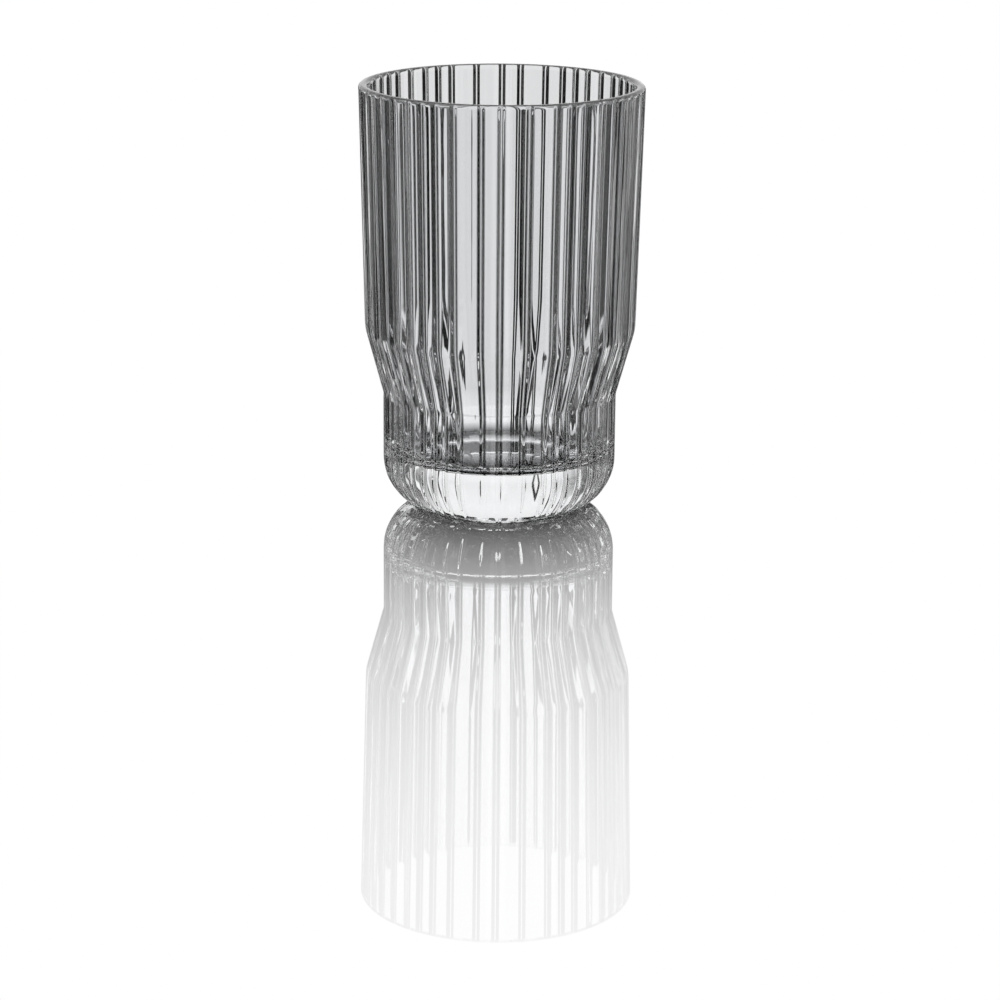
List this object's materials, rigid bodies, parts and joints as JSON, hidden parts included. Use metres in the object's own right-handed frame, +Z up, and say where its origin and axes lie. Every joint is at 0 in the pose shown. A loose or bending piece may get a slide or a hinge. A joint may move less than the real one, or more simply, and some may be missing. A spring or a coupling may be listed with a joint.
{
  "type": "drinking glass",
  "caption": "Clear ribbed tumbler with a stepped-in waist, a thick rounded base and a fire-polished lip, open at the top to hold a cold drink.",
  "frame": {"origin": "middle of the foot ring's plane, on the surface that the glass stands on", "axes": "+Z up along the axis of the glass, towards the mouth; +Y away from the picture's viewer and +X to their right"},
  "size_m": [0.08, 0.08, 0.12],
  "materials": {
    "clear_glass": "clear soda-lime glass with a faint cool grey cast, fire-polished"
  },
  "bodies": {
    "root": {"tumbler": "clear_glass"}
  },
  "joints": []
}
